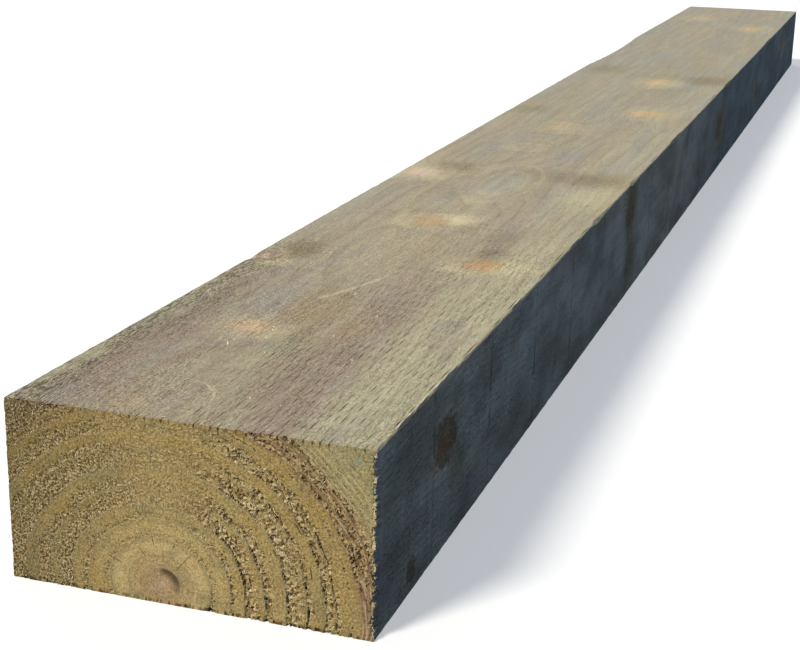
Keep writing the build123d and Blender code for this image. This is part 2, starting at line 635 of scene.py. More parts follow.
def grow(name, mesh, tree, **values):  # runs a node tree on a mesh and keeps the result as a plain mesh
    source = helper(name + "Source", mesh)
    modifier = source.modifiers.new(name, "NODES")
    modifier.node_group = tree
    sockets = {item.name: item.identifier for item in tree.interface.items_tree if item.in_out == "INPUT"}
    for title, value in values.items():
        modifier[sockets[title]] = value
    bpy.context.view_layer.update()
    graph = bpy.context.evaluated_depsgraph_get()
    result = bpy.data.meshes.new_from_object(source.evaluated_get(graph), preserve_all_data_layers=True,
                                             depsgraph=graph)
    result.name = name
    source.modifiers.remove(modifier)
    bpy.data.objects.remove(source)
    print(name, "made:", sum(len(face.vertices) - 2 for face in result.polygons), "triangles")
    return helper(name, result)


# materials

def newMaterial(name):
    material = bpy.data.materials.new(name)
    material.use_nodes = True
    shader = material.node_tree.nodes["Principled BSDF"]
    shader.inputs["Specular IOR Level"].default_value = 0.06  # sawn wood hardly shines
    return material, material.node_tree, shader


def millimetres(tree):
    return out(put(tree, "ShaderNodeTexCoord"), "Object") * (1 / mm)


def dress(shader, colour, roughness, bumps=None, deep=0.0):  # deep is in millimetres
    feed(shader.inputs["Base Color"], colour)
    feed(shader.inputs["Roughness"], roughness)
    if bumps is not None:
        inputs = {"Height": bumps, "Distance": deep * mm, "Strength": 0.8}
        feed(shader.inputs["Normal"], out(put(shader.id_data, "ShaderNodeBump", inputs)))


def coats(wood, look, **shares):  # tones of a look, one over another
    for tone, share in shares.items():
        wood = wood.mix(share, look[tone])
    return wood


# branches that grew out from the pith, and soft patches beside them, on each long face: millimetres along
# from the near end, then across from the left side on wide faces, or down from the top on narrow ones.
# One pale patch on the front, over its first knot, is a painted highlight
hues = {
    "orange": (190, 150, 106), "amber": (210, 176, 130), "glow": (208, 194, 160), "pink": (198, 168, 134),
    "pale": (216, 190, 166), "honey": (190, 166, 122), "rust": (194, 146, 98), "core": (140, 98, 70),
    "brown": (46, 34, 25), "rim": (84, 68, 54), "yellow": (198, 186, 148), "stain": (124, 104, 78),
    "purple": (116, 98, 86), "moss": (134, 128, 94), "light": (184, 174, 144), "warm": (164, 144, 116),
    "cool": (148, 150, 142), "smear": (78, 76, 54), "olive": (122, 108, 78), "scratch": (200, 190, 164),
    # the pale grey next serves pale patches on the front, one of them a painted highlight
    "bright": (172, 174, 168), "ochre": (158, 138, 100),
}
knots = {  # in the order of the slit lattices: along, across, radius, stretch, strength, rim strength, hue
    "top": (
        (17, 60, 9, 1, 0.4, 0.1, "pink"), (159, 66, 14, 1.2, 0.95, 0.15, "pink"),
        (313, 5, 10, 1.3, 0.95, 0.9, "pale"), (345, 154, 12, 1.4, 0.85, 0.25, "rust"),
        (457, 81, 15, 1.2, 0.8, 0.2, "orange"), (637, 21, 17, 1.3, 0.95, 0.1, "pale"),
        (794, 75, 9, 1.6, 0.55, 0.2, "honey"), (917, 78, 14, 1.6, 0.75, 0.1, "pink"),
        (1046, 144, 17, 1.7, 0.85, 0.1, "amber"), (1301, 114, 18, 2, 0.8, 0.1, "amber"),
        (2166, 52, 18, 2.4, 0.75, 0.1, "pink"), (2029, 155, 17, 2.2, 0.75, 0.1, "amber"),
    ),
    "bed": (
        (372, 60, 10, 2.4, 0.8, 0.5, "rust"), (660, 120, 11, 2.2, 0.8, 0.3, "orange"),
        (1100, 60, 12, 2.4, 0.8, 0.3, "orange"), (1420, 130, 12, 2.2, 0.7, 0.6, "brown"),
        (1800, 70, 11, 2.4, 0.8, 0.5, "rust"), (2130, 120, 11, 2.2, 0.7, 0.3, "orange"),
    ),
    "front": (
        (114, 37, 11, 1.6, 0.85, 0.8, "brown"), (110, 38, 5, 1.7, 0.75, 0.3, "core"),
        (55, 87, 7, 1.2, 0.7, 0.6, "brown"), (664, 26, 14, 1.3, 0.45, 0.5, "brown"),
        (1277, 45, 15, 1.8, 0.5, 0.4, "brown"), (1720, 60, 14, 1.6, 0.7, 0.6, "brown"),
        (2140, 35, 13, 1.6, 0.7, 0.5, "rust"),
    ),
    "back": (
        (325, 22, 12, 1.5, 0.8, 0.7, "brown"), (655, 52, 13, 1.4, 0.8, 0.6, "rust"),
        (1050, 40, 14, 1.5, 0.8, 0.4, "orange"), (1420, 62, 14, 1.6, 0.7, 0.7, "brown"),
        (1810, 35, 13, 1.5, 0.8, 0.4, "orange"), (2150, 70, 12, 1.5, 0.7, 0.5, "rust"),
    ),
}
softPatches = {  # along, across, radius, stretch, strength and hue of soft patches
    "top": (
        (152, 80, 12, 1.3, 0.45, "yellow"), (303, 20, 12, 1.3, 0.85, "yellow"),
        (340, 26, 12, 2.6, 0.75, "olive"), (342, 168, 17, 1, 0.85, "yellow"),
        (332, 136, 10, 1, 0.7, "yellow"), (371, 152, 9, 2.4, 0.9, "purple"),
        (420, 148, 10, 4, 0.5, "purple"), (470, 100, 19, 1, 0.9, "glow"), (452, 70, 20, 1, 0.4, "yellow"),
        (222, 57, 12, 4.5, 0.5, "cool"), (590, 98, 24, 3.2, 0.5, "light"),
        # a dark band across the top about 660 mm along
        (622, 30, 13, 1.2, 0.5, "yellow"), (660, 165, 26, 1.3, 0.6, "stain"),
        (668, 116, 24, 1.2, 0.45, "stain"), (672, 40, 18, 1.3, 0.55, "stain"),
        (585, 178, 20, 2.4, 0.5, "yellow"), (1027, 20, 22, 1.4, 0.5, "moss"),
        (1296, 124, 20, 2, 0.6, "yellow"), (1400, 34, 28, 1.5, 0.55, "moss"),
        (1345, 176, 30, 1.5, 0.55, "stain"), (1352, 120, 30, 1.2, 0.4, "moss"),
        (205, 90, 18, 2.4, 0.5, "ochre"), (172, 122, 10, 2.6, 0.55, "ochre"),
        (380, 110, 36, 2, 0.3, "warm"),
    ),
    "front": (
        (138, 58, 15, 1.4, 0.7, "smear"), (134, 20, 9, 1.6, 0.5, "smear"), (97, 44, 6, 2.6, 0.65, "core"),
        # the pale patch at 153 mm, over the knot, is a painted highlight
        (153, 28, 9, 1.5, 0.4, "bright"), (660, 22, 20, 1.3, 0.8, "brown"),
        (590, 34, 22, 1.4, 0.5, "bright"), (672, 66, 26, 1.1, 0.85, "smear"),
        (666, 14, 20, 1.5, 0.8, "smear"), (1290, 52, 24, 2.4, 0.75, "smear"),
        (760, 60, 30, 2, 0.3, "bright"), (300, 30, 26, 2.4, 0.35, "bright"),
    ),
    "back": ((650, 30, 24, 1.4, 0.6, "stain"), (1430, 30, 26, 1.5, 0.6, "moss")),
    "bed": ((670, 80, 26, 1.6, 0.5, "stain"), (1410, 90, 28, 1.6, 0.5, "stain")),
}


def faceSpot(face, along, across):  # the point on a face, and the way a branch came out to it
    x = along - wholeLength / 2
    if face in ("top", "bed"):
        spot = Vector((x, halfAcross - across, wholeHeight if face == "top" else 0.0))
    else:
        spot = Vector((x, halfAcross * (1 if face == "back" else -1), wholeHeight - across))
    side, up = pithAt(along)
    branch = spot - Vector((x - heart["branchLean"], side, up))
    return spot, branch.normalized(), branch.length


def knotField():  # how far a place is from a branch's middle, in its own radii
    tree, where, centre, axis, squash, widening = group(
        "knotField", lookKind, "Place Vector, Centre Vector, Axis Vector, Squash Vector, Grow Float")
    away = where - centre
    along = away.work("DOT_PRODUCT", axis)
    wide = ((away - axis * along) * squash).length()
    return finishGroup(tree, Reach=wide / along.times(widening, 1).work("MAXIMUM", 0.15))


def knotPaint():
    tree, reach, strength, edge, wood, heartwood, rim, grain = group(
        "knotPaint", lookKind,
        "Reach Float, Strength Float, Edge Float, Wood Color, Heartwood Color, Rim Color, Grain Float")
    wood = wood.mix(reach.fall(0.9, 2.3, strength * 0.35), hues["yellow"])
    wood = wood.mix(reach.fall(0.9, 1.3, edge), rim)
    ringed = (reach * 21).work("SINE").times(0.12, 0.88)
    core = reach.fall(0.45, 1.2) * strength * ringed * grain.span(0.35, 0.65, 0.6, 1)
    return finishGroup(tree, Colour=wood.mix(core, heartwood))


def slitLook():  # closed slits as dark lines, the bruise round every slit, and its mark on a sawn end
    tree, along, across, face, rows = group(
        "slitLook", lookKind, "Along Float, Across Float, Face Float, Rows Float")
    column = ((along - firstSlit) / pitchAlong).work("ROUND")
    lift = (rows - 1) * 0.5 - stagger(column)
    row = (across / pitchAcross + lift).work("ROUND")
    strength, shift, long = place(tree, planLook, Cell=combine(tree, column, row, face)).values()
    half = long * (incising["slitLength"] / 2)
    shiftAlong, shiftAcross = shift.parts()[:2]
    du = abs(along - shiftAlong - column.times(pitchAlong, firstSlit)) / half
    dv = abs(across - shiftAcross - (row - lift) * pitchAcross)
    held = (row > -0.5) * (row < rows)
    slit = (du.times(0.1, dv).fall(0.06, 0.22) * du.fall(0.8, 1) * held * along.span(150, 480, 1, 0.18)
            * strength.span(0.1, incising["openAbove"], 0.1, 1))
    bruise = dv.fall(0.2, 1.5) * du.fall(0.7, 1.25) * held * strength.span(0.2, 0.9, 0.1, 1)
    tick = dv.fall(0.25, 0.75) * held * strength.rise(0.3, 0.75)
    return finishGroup(tree, Slit=slit, Bruise=bruise, Tick=tick)


def fibres():  # grain on the long faces: fine and broad streaks, standing fuzz and cross marks of the saw
    tree, where = group("fibres", lookKind, "Place Vector")
    short, long = where.streak(2.4, 0.6, 2, 0.7) - 0.5, where.streak(15, 1.6, 2, 0.6, 41) - 0.5
    roughness = where.streak(75, 24, shift=51).span(0.35, 0.65, 0.8, 1.5)
    return finishGroup(tree, Fine=short.times(1.6, long * 0.42) * roughness,
                       Broad=where.streak(120, 7, 3, 0.6, 7),
                       Fuzz=where.streak(5.5, 0.8, 1, 0.5, 31).rise(0.56, 0.74),
                       Saw=(where * (0.32, 0.012, 0.012)).cloud(1, 2, 0.6))


knotFieldLook, knotPaintLook, slitMarks, fibreLook = knotField(), knotPaint(), slitLook(), fibres()

faceLook = {
    "tones": (
        (0, (160, 138, 104)), (55, (160, 144, 114)), (86, (160, 148, 122)), (93, (153, 139, 117)),
        (98, (148, 132, 115)), (107, (146, 130, 114)), (110.5, (163, 152, 127)), (119, (173, 165, 136)),
        (150, (172, 164, 136)),
    ),  # millimetres from the pith
    "even": (173, 162, 137),
    "latewood": (134, 116, 94),
    "green": (150, 150, 124),
    "grey": (146, 138, 128),
    "far": (154, 150, 135),
    "ochre": (168, 152, 122),
    "blue": (146, 148, 144),
    "frontPaintedShade": (
        (0, (160, 162, 158)), (520, (156, 165, 163)), (900, (182, 180, 172)), (1250, (84, 110, 124)),
        (2000, (78, 110, 126)),
    ),  # painted shade on the front, by millimetres along it: bluish grey, paler at 900, dark blue from 1250
    "frontPaintedShadeShare": (0.55, 0.75),
    "fuzz": (200, 188, 156),
    "arris": (186, 176, 146),
    "slit": (44, 36, 29),
    "bruise": (112, 98, 80),
    "roller": (54, 52, 52),
    "pit": (74, 64, 50),
    "mauve": (164, 148, 132),
    "cream": (176, 170, 138),
    "branchGrow": 0.7,  # how much a branch widens on its way out
    "shake": (30, 20, 20),
    "sway": (14, 10, 10),
    "swell": (622, 96, 26, 3.0),  # where the rings bulge up into the top: along, across, radius, stretch
    "swellLift": 11.0,
    "eye": (0.5, 0.3),  # how far that bulge is cooler, and its outlines paler
    "eyeEdges": (0.68, 1.12),
    "scratches": (
        (230, 82, 258, 93, 1.7, 0.6), (258, 93, 284, 101, 1.5, 0.5), (284, 101, 312, 106, 1.5, 0.25),
        (60, 73, 57, 85, 0.8, 0.35), (57, 85, 45, 96, 0.8, 0.35), (45, 96, 2, 109, 0.7, 0.3),
    ),
    "rollerPitch": 113.0,
    "rollerFirst": 205.0,
}


def faceMaterial(face):
    material, tree, shader = newMaterial("sawn" + face.title())
    onWide, turned = face in ("top", "bed"), face in ("bed", "back")
    where = millimetres(tree)
    x, y, z = where.parts()
    along, left = x + wholeLength / 2, halfAcross - y
    across = y if onWide else z - wholeHeight / 2
    marks = place(tree, slitMarks, Along=along, Across=across * (-1 if turned else 1),
                  Face=float(list(knots).index(face)), Rows=float(wideRows if onWide else narrowRows))
    grain = place(tree, fibreLook, Place=where)

    # the branches first, because the rings swing round them
    wobble = where.cloud(0.11, 4, 0.72, 1) - middleGrey
    shaken, steady = (wobble.times(faceLook[name], where) for name in ("shake", "sway"))

    def branchField(spot, spotAlong, spotAcross, radius, stretch, widening):
        centre, axis, length = faceSpot(face, spotAlong, spotAcross)
        squash = (1 / radius / stretch, 1 / radius, 1 / radius)
        return place(tree, knotFieldLook, Place=spot, Centre=centre, Axis=axis, Grow=widening / length,
                     Squash=squash)["Reach"]

    fields, warp, widening = [], 0, faceLook["branchGrow"]
    for *spot, strength, hue in softPatches[face]:
        fields.append((branchField(shaken, *spot, widening), strength, None, hue))
    for *spot, strength, rim, hue in knots[face]:
        field = branchField(shaken, *spot, widening)
        fields.append((field, strength, rim, hue))
        warp = field.fall(0.4, 3.4, 0.55 * spot[2]) + warp
    if face == "top":
        eye = branchField(steady, *faceLook["swell"], 0)
        warp = eye.fall(0, 2.2, faceLook["swellLift"]) + warp

    rings = place(tree, ringsLook, Place=where, Warp=warp)
    wood = shades(rings["Radius"], faceLook["tones"], heart["outermost"])
    patch, tint, mottle = (where.streak(*size, shift=shift)
                           for size, shift in (((95, 26), 3), ((36, 12), 91), ((150, 30), 61)))
    past = along.rise(250, 700)
    wood = coats(
        wood, faceLook, even=along.rise(130, 400, 0.6), latewood=rings["Band"].work("POWER", 5) * 0.5,
        green=patch.rise(0.52, 0.75, 0.55), grey=patch.fall(0.28, 0.46, 0.6),
        mauve=tint.rise(0.52, 0.7, 0.4), cream=tint.fall(0.3, 0.48, 0.28),
        far=along.rise(500, 1500, 0.62 if onWide else 0),
        ochre=past * mottle.rise(0.5, 0.72, 0.5), blue=past * mottle.fall(0.3, 0.48, 0.4))
    # painted shade: the front is tinted bluish grey, and dark blue far along
    if face == "front":
        frontPaintedShade = shades(along, faceLook["frontPaintedShade"], wholeLength)
        wood = wood.mix(along.span(1000, 1350, *faceLook["frontPaintedShadeShare"]), frontPaintedShade)
    meal = where.cloud(0.3, 3, 0.65)
    uneven = meal - 0.5
    for field, strength, rim, hue in fields:
        field = uneven.times(1.4 if onWide else 1.8, field)
        if rim is None:
            wood = wood.mix(field.fall(0.1, 1.5, strength), hues[hue])
        else:
            wood = place(tree, knotPaintLook, Reach=field, Strength=strength, Edge=rim, Wood=wood,
                         Grain=meal, Heartwood=hues[hue], Rim=hues["rim"])["Colour"]

    if face == "top":
        cooler, paler = faceLook["eye"]
        wood = wood.mix(eye.fall(0.3, 1.05, cooler), hues["cool"])
        for edge in faceLook["eyeEdges"]:
            wood = wood.mix(abs(eye - edge).fall(0.02, 0.09, paler), hues["light"])
        for x0, y0, x1, y1, half, strength in faceLook["scratches"]:  # from, to, half width, strength
            away = combine(tree, along - x0, left - y0, 0)
            run = (x1 - x0, y1 - y0, 0)
            share = away.work("DOT_PRODUCT", run) / Vector(run).length_squared
            off = (away - share.work("MAXIMUM", 0).work("MINIMUM", 1) * run).length()
            wood = wood.mix(off.fall(0.3 * half, 1.6 * half, strength), hues["scratch"])
        raw = left.fall(8, 44) * along.fall(260, 420) * where.streak(44, 15, shift=81).rise(0.34, 0.52)
        pits = where.streak(5, 0.8, 2, 0.6, 71).rise(0.48, 0.56)
        wood = wood.mix(raw * pits * 0.85, faceLook["pit"])

    fine = grain["Fine"] * along.span(200, 700, 1.5 if onWide else 1.2, 0.6)
    shade = fine + 1 + grain["Broad"].sway(0.12, -0.13) + grain["Saw"].sway(0.05)
    wood = wood.mix(1, shade, "MULTIPLY").mix(grain["Fuzz"] * 0.42, faceLook["fuzz"])
    if not onWide:  # lines that the mill's rollers pressed, and handling
        turn = (along - faceLook["rollerFirst"]) / faceLook["rollerPitch"]
        faint = (where * (0.012, 0.05, 0.05)).cloud().span(0.4, 0.62, 0.12, 0.6)
        wood = wood.mix(abs(turn - turn.work("ROUND")).fall(0, 0.03) * faint, faceLook["roller"])
        smudge = (where * (0.016, 0.035, 0.035)).cloud(1, 3).span(0.3, 0.7, 0.66, 1.36)
        wood = wood.mix(1, smudge, "MULTIPLY")
    wood = wood.mix(marks["Bruise"] * 0.16, faceLook["bruise"]).mix(marks["Slit"], faceLook["slit"])
    ny, nz = out(put(tree, "ShaderNodeNewGeometry"), "True Normal").parts()[1:]
    # paler arris facets, partly fresh torn wood and partly a painted highlight along the edges
    wood = wood.mix((abs(ny) * abs(nz)).rise(0.15, 0.3, 0.5), faceLook["arris"])
    dress(shader, wood, grain["Fine"].span(-0.4, 0.4, 0.92, 0.76, False),
          grain["Fine"] * 0.4 + grain["Fuzz"] * 0.35, 0.5)
    return material


endLook = {
    "tones": (
        (0, (192, 166, 132)), (3, (172, 146, 112)), (8, (170, 143, 104)), (14, (181, 156, 110)),
        (22, (193, 170, 119)), (25, (176, 153, 103)), (30, (184, 160, 107)), (38, (170, 149, 99)),
        (60, (168, 147, 97)), (92, (166, 142, 90)), (96.5, (162, 136, 87)), (98.5, (140, 112, 83)),
        (106, (144, 116, 86)), (109, (156, 142, 102)), (114, (160, 148, 106)), (150, (162, 152, 110)),
    ),
    "late": (150, 128, 80),
    "ochre": (163, 134, 77),
    "olive": (140, 130, 92),
    # the crumbs' tones, pale on high crumbs and dark in deep pits, are partly painted highlight and shade
    "crumbs": (
        (0, (222, 202, 154)), (0.22, (192, 169, 119)), (0.5, (158, 136, 88)), (0.76, (122, 101, 63)),
        (1, (86, 68, 42)),
    ),
    "fibre": (214, 197, 152),
    "line": (142, 136, 106),
    # the next colour is painted shade in the torn gaps and bites, and the dark of slots, slit marks and
    # bottom patches
    "gap": (62, 46, 30),
    "streakPale": (192, 168, 128),
    "streakDark": (72, 52, 38),
    "thread": (196, 180, 136),
    "redden": (226, 206, 194),
    "corner": (104, 80, 50),
    "check": (92, 74, 54),
    "checks": (
        (102, 20, 27), (88, 12, 19), (124, 15, 23), (160, 20, 29), (50, 10, 23), (73, 20, 25),
    ),  # degrees, from, to
    "slots": (
        (87, 15, 27, 0.55), (99.5, 14, 21, 0.6), (102.5, 15, 20, 0.5), (77.5, 11, 17, 0.4),
        (80.5, 27, 33, 0.4), (63, 22, 27, 0.4), (53, 8, 13, 0.4),
    ),  # radius, from and to in degrees, half width
    # a dark crescent at the pith, painted shadow
    "crescent": (80, 61, 46),
    "spot": (-90.5, 92.5, 2.6),
    "spotColour": (124, 158, 138),
}


def endMaterial():
    material, tree, shader = newMaterial("sawnEnd")
    where = millimetres(tree)
    x, y, z = where.parts()
    flat, near = where * endFlat, x < 0
    radius, band, torn, line, gap, side, up = place(tree, ringsLook, Place=where).values()
    tear = place(tree, tearLook, Place=where, Torn=torn, Gap=gap, Side=side)
    angle = up.work("ARCTAN2", side * -1)
    patch, speck = flat.cloud(0.05, 3), flat.cloud(0.95, 4, 0.75)
    arcs, rays, lineField = (combine(tree, radius * outward, angle * around, near).cloud()
                             for outward, around in ((0.7, 2.5), (0.07, 34), (0.95, 9)))
    ripple = (radius * 2.3).work("SINE")

    wood = shades(radius, endLook["tones"], heart["outermost"])
    wood = coats(wood, endLook, late=band.rise(0.55, 0.95, 0.22), ochre=patch.rise(0.5, 0.68, 0.38),
                 olive=patch.fall(0.32, 0.48, 0.55), line=line * radius.span(14, 26, 0.25, 0.5))

    # fine arcs along the rings, rays across them and the grain of the cut
    shade = arcs.sway(0.13) + rays.sway(0.09) + ((speck - 0.5) * radius.span(18, 44, 2.4, 3.6) + 1.01)
    pores = flat.cloud(0.62, 2, 0.6).rise(0.56, 0.7, radius.span(18, 40, 0.06, 0.24))
    wood = wood.mix(1, shade - pores + ripple * radius.fall(14, 26, 0.05), "MULTIPLY")

    # the torn wood, paler where its crumbs stand high and darker where they sink deep, partly painted
    # highlight and shade, reddish in the tight rings, with pale and dark streaks running along those
    tight = radius.rise(96.5, 98.5) * radius.fall(107.5, 110)
    crumbs = shades((speck - 0.5).times(0.5, tear["Crumb"]), endLook["crumbs"])
    crumbs = crumbs.mix(tight * side.span(-30, 10, 0.5, 0.1), endLook["redden"], "MULTIPLY")
    wood = wood.mix(torn * radius.span(28, 46, 0.5, 0.92), crumbs)
    threads = (ripple.rise(0.3, 0.9) * radius.rise(106, 109) * radius.fall(118, 127)
               * lineField.rise(0.36, 0.56) * speck.rise(0.34, 0.54) * 0.9)
    # the torn gaps between the rings are darkened as painted shade
    wood = coats(wood, endLook, line=line * 0.08, gap=gap * 0.9,
                 streakPale=tight * lineField.rise(0.54, 0.64) * 0.8,
                 streakDark=tight * lineField.fall(0.36, 0.46) * 0.55, thread=threads,
                 corner=near * (y + z).rise(150, 196) * 0.4)  # the dark top left corner

    # drying checks round the pith, slots between the rings, a dark crescent at the pith that is painted
    # shadow, and the stained corner
    for degrees, inner, outer in endLook["checks"]:
        off = abs(angle - math.radians(degrees)) * radius
        check = off.fall(0.1, 0.42, 0.75) * radius.rise(inner, inner + 2) * radius.fall(outer - 2, outer)
        wood = wood.mix(check, endLook["check"])
    for middle, begin, stop, half in endLook["slots"]:
        begin, stop = math.radians(begin), math.radians(stop)
        slot = (near * abs(radius - middle).fall(0.4 * half, half, 0.9) * angle.rise(begin, begin + 0.03)
                * angle.fall(stop - 0.03, stop))
        wood = wood.mix(slot, endLook["gap"])
    crescent = (radius.rise(3.6, 7.6) * radius.fall(8.4, 9.4) * angle.span(-0.5, 0.6, 0.2, 0.85)
                * angle.fall(1.4, 2) * angle.rise(-0.6, -0.3))
    spotY, spotZ, spotSize = endLook["spot"]
    blot = near * combine(tree, y - spotY, z - spotZ, 0).length().fall(0.6, spotSize, 0.6)
    # the torn bites in the bottom edge are darkened with painted shade
    wood = coats(wood, endLook, crescent=crescent, spotColour=blot, fibre=tear["Fray"] * 0.75,
                 gap=tear["Bite"] * 0.85)

    # the slits that the saw cut runs through, and dark patches along the bottom edge
    for number, across, rows, toward, start, stop, strength in (
            (0, y, wideRows, z, 97, 98.8, 0.7), (1, y * -1, wideRows, z, 3, 1.2, 0.95),
            (3, wholeHeight / 2 - z, narrowRows, y, 97.6, 99.2, 0.6)):
        ticks = place(tree, slitMarks, Along=0, Across=across, Face=float(number), Rows=float(rows))
        wood = wood.mix(near * ticks["Tick"] * toward.rise(start, stop) * strength, endLook["gap"])
    wood = wood.mix(near * z.fall(0.6, 3.2) * flat.cloud(0.3, 1).rise(0.5, 0.6) * 0.8, endLook["gap"])
    wood = wood.mix(1, y.span(15, 100, 1, 0.74, False), "MULTIPLY")
    dress(shader, wood, torn.span(0, 1, 0.78, 0.95, False), speck * torn.span(0, 1, 0.45, 1), 0.9)
    return material


def slitMaterial():
    material, tree, shader = newMaterial("slitWall")
    # dark brown inside the slits, partly deeper stain and partly painted shade in the narrow cut
    grain = millimetres(tree).streak(9, 0.9)
    dress(shader, shades(grain, ((0.2, (58, 47, 37)), (0.8, (104, 88, 68)))), 0.92)
    return material


def fibreMaterial():  # loose wood fibre, on the torn ends and as sawdust
    material, tree, shader = newMaterial("paleFibre")
    tone = millimetres(tree).cloud(0.5, 1.0)
    dress(shader, shades(tone, ((0.25, (198, 180, 136)), (0.75, (242, 230, 200)))), 0.85)
    return material


woods = {face.title() + " Wood": faceMaterial(face) for face in knots}
woods |= {"End Wood": endMaterial(), "Slit Wood": slitMaterial()}
fibreWood = fibreMaterial()
print("materials made")


def settle(piece):  # every piece is fixed to the one body
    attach(piece, "root")


mapLayout = {  # shares of the map
    "gap": 0.008,
    "bands": (0.25, 0.25, 0.125, 0.125),  # top, bed, front and back
    "endBlock": (0.48, 0.2),
}


def layOutMap(piece):  # each long face is a strip of the map and each end a block
    mesh = piece.data

    def read(items, name, kind=int, width=1):
        values = np.empty(len(items) * width, kind)
        items.foreach_get(name, values)
        return values.reshape(-1, width).squeeze()

    x, y, z = read(mesh.polygons, "center", float, 3).T
    slots, names = read(mesh.polygons, "material_index"), [material.name for material in mesh.materials]
    side = np.stack((topLevel - z, z, y + halfWidth, halfWidth - y)).argmin(0)  # where a slit wall was cut
    for number, name in enumerate(("sawnTop", "sawnBed", "sawnFront", "sawnBack", "sawnEnd")):
        side[slots == names.index(name)] = number
    side[(side == 4) & (x > 0)] = 5
    side = np.repeat(side, read(mesh.polygons, "loop_total"))

    x, y, z = read(mesh.vertices, "co", float, 3)[read(mesh.loops, "vertex_index")].T
    gap, (blockWide, blockHigh) = mapLayout["gap"], mapLayout["endBlock"]
    along, wide, narrow = (x + halfLength) / (2 * halfLength), (y + halfWidth) / (2 * halfWidth), z / height
    u, v, base = gap + along * (1 - 2 * gap), np.empty(len(x)), gap
    for number, band in enumerate(mapLayout["bands"]):
        v = np.where(side == number, base + (wide if number < 2 else narrow) * band, v)
        base += band + gap
    for number in (4, 5):
        u = np.where(side == number, gap + (number - 4) * (blockWide + gap) + wide * blockWide, u)
        v = np.where(side == number, base + narrow * blockHigh, v)
    layer = mesh.uv_layers.new(name="OFBake")
    layer.uv.foreach_set("vector", np.stack((u, v), 1).ravel())


# the sleeper itself
cutter, cracks, timberMesh = slitCutter(), crackPoints(), sawnTimber()
sleeper = grow("incised_sleeper", timberMesh, incisedTimber(), Cutter=cutter, Cracks=cracks,
               Threshold=incising["openAbove"], **woods)
layOutMap(sleeper)
settle(sleeper)
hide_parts("sleeper")
for item in (cutter, cracks):
    bpy.data.objects.remove(item)


# fibres that the saw pulled out of the ends
endFuzz = {
    "Torn Density": 300000.0,  # to a square metre of torn wood
    "Fray Density": 5000000.0,
    "Far Share": 0.2,
    "Shortest": 0.9,  # millimetres
    "Longest": 3.0,
    "Thinnest": 0.16,
    "Thickest": 0.34,
    "Seed": 11,
}


def needle():  # three-sided and tapering, 1 long
    ring = [(math.cos(a), math.sin(a)) for a in (0.0, 2.1, 4.2)]
    verts = [(wide * c, wide * s, level) for wide, level in ((0.5, 0.0), (0.42, 0.6)) for c, s in ring]
    sides = [(i, (i + 1) % 3) for i in range(3)]
    faces = [(0, 1, 2)] + [(i, j, 3 + j, 3 + i) for i, j in sides] + [(3 + i, 3 + j, 6) for i, j in sides]
    return helperShape("needle", verts + [(0.1, 0.1, 1.0)], faces)


def chance(tree, least, most, seed, kind="FLOAT"):
    node = put(tree, "FunctionNodeRandomValue", data_type=kind)
    for socket, value in zip([s for s in node.inputs if s.enabled], (least, most)):
        feed(socket, value)
    feed(node.inputs["Seed"], seed)
    return Wire(next(s for s in node.outputs if s.enabled))


def pulledFibres():
    tree, sawn, item, tornDensity, frayDensity, farShare, *sizes, seed, fibre = group(
        "pulledFibres", shapeKind, "Timber Geometry, Needle Object, Torn Density Float, Fray Density Float, "
        "Far Share Float, Shortest Float, Longest Float, Thinnest Float, Thickest Float, Seed Int, "
        "Fibre Material")
    sawn, torn, fray, endSide = tornEnds(tree, sawn)
    density = (torn * tornDensity + fray * frayDensity) * endSide.span(-1, 1, 1, farShare, False)
    isEnd = readAttribute(tree, "endFace", "INT") > 0.5
    spread = put(tree, "GeometryNodeDistributePointsOnFaces", distribute_method="RANDOM",
                 inputs={"Mesh": sawn, "Selection": isEnd, "Seed": seed, "Density": density})
    lean = chance(tree, (0.1, -1, -1), (0.9, 1, 0.7), seed, "FLOAT_VECTOR")
    outward = combine(tree, 0, fray * -0.9, 0)  # the frayed edge's fibres stand out sideways
    toward = lean.times(combine(tree, endSide, 1, 1), outward)
    turn = out(put(tree, "FunctionNodeAlignRotationToVector", {"Vector": toward}, axis="Z"))
    thick = chance(tree, *sizes[2:], seed + 1) * fray.times(0.7, 1)
    size = combine(tree, thick, thick, chance(tree, *sizes[:2], seed + 2)) * mm
    needles = realized(instances(out(spread, "Points"), item, size, Rotation=turn))
    return finishGroup(tree, Geometry=wear(keepInside(needles), fibre))


needleShape = needle()
fuzzPiece = grow("pulled_fibres", timberMesh, pulledFibres(), Needle=needleShape, Fibre=fibreWood, **endFuzz)
settle(fuzzPiece)
bpy.data.objects.remove(needleShape)


# sawdust and chips left on the top
sawdust = {
    "count": 420,
    "seed": 5,
    "length": (1.2, 4.5),  # millimetres
    "wide": (0.25, 0.6),
    "thick": 0.27,
    "across": (4, 192),  # how far from the left side it begins, and how broad it lies
    "gather": 2.4,  # how much more of it lies towards the near end
    "turn": 26.0,
    "chips": (
        (124, 67, 11, 1.3, 24), (141, 83, 5, 1.1, 33), (156, 81, 4.5, 0.9, 30), (162, 79, 4, 1, 27),
        (44, 116, 5.5, 0.9, 20), (136, 171, 6, 0.9, 32), (66, 172, 5, 1, -12), (35, 198.9, 13, 0.9, 1),
        (52, 199, 9, 0.8, 0), (74, 198.9, 15, 0.9, 1), (98, 199, 16, 1, 0), (112, 198.9, 14, 0.9, 2),
        (128, 199, 12, 0.8, 0), (268, 198.8, 18, 1, 1), (205, 128, 6, 0.8, 15), (246, 99, 5.5, 1.4, -30),
        (158, 118, 5, 0.8, 24), (402, 190, 9, 0.8, 8),
    ),  # along, across, length, width, degrees
}


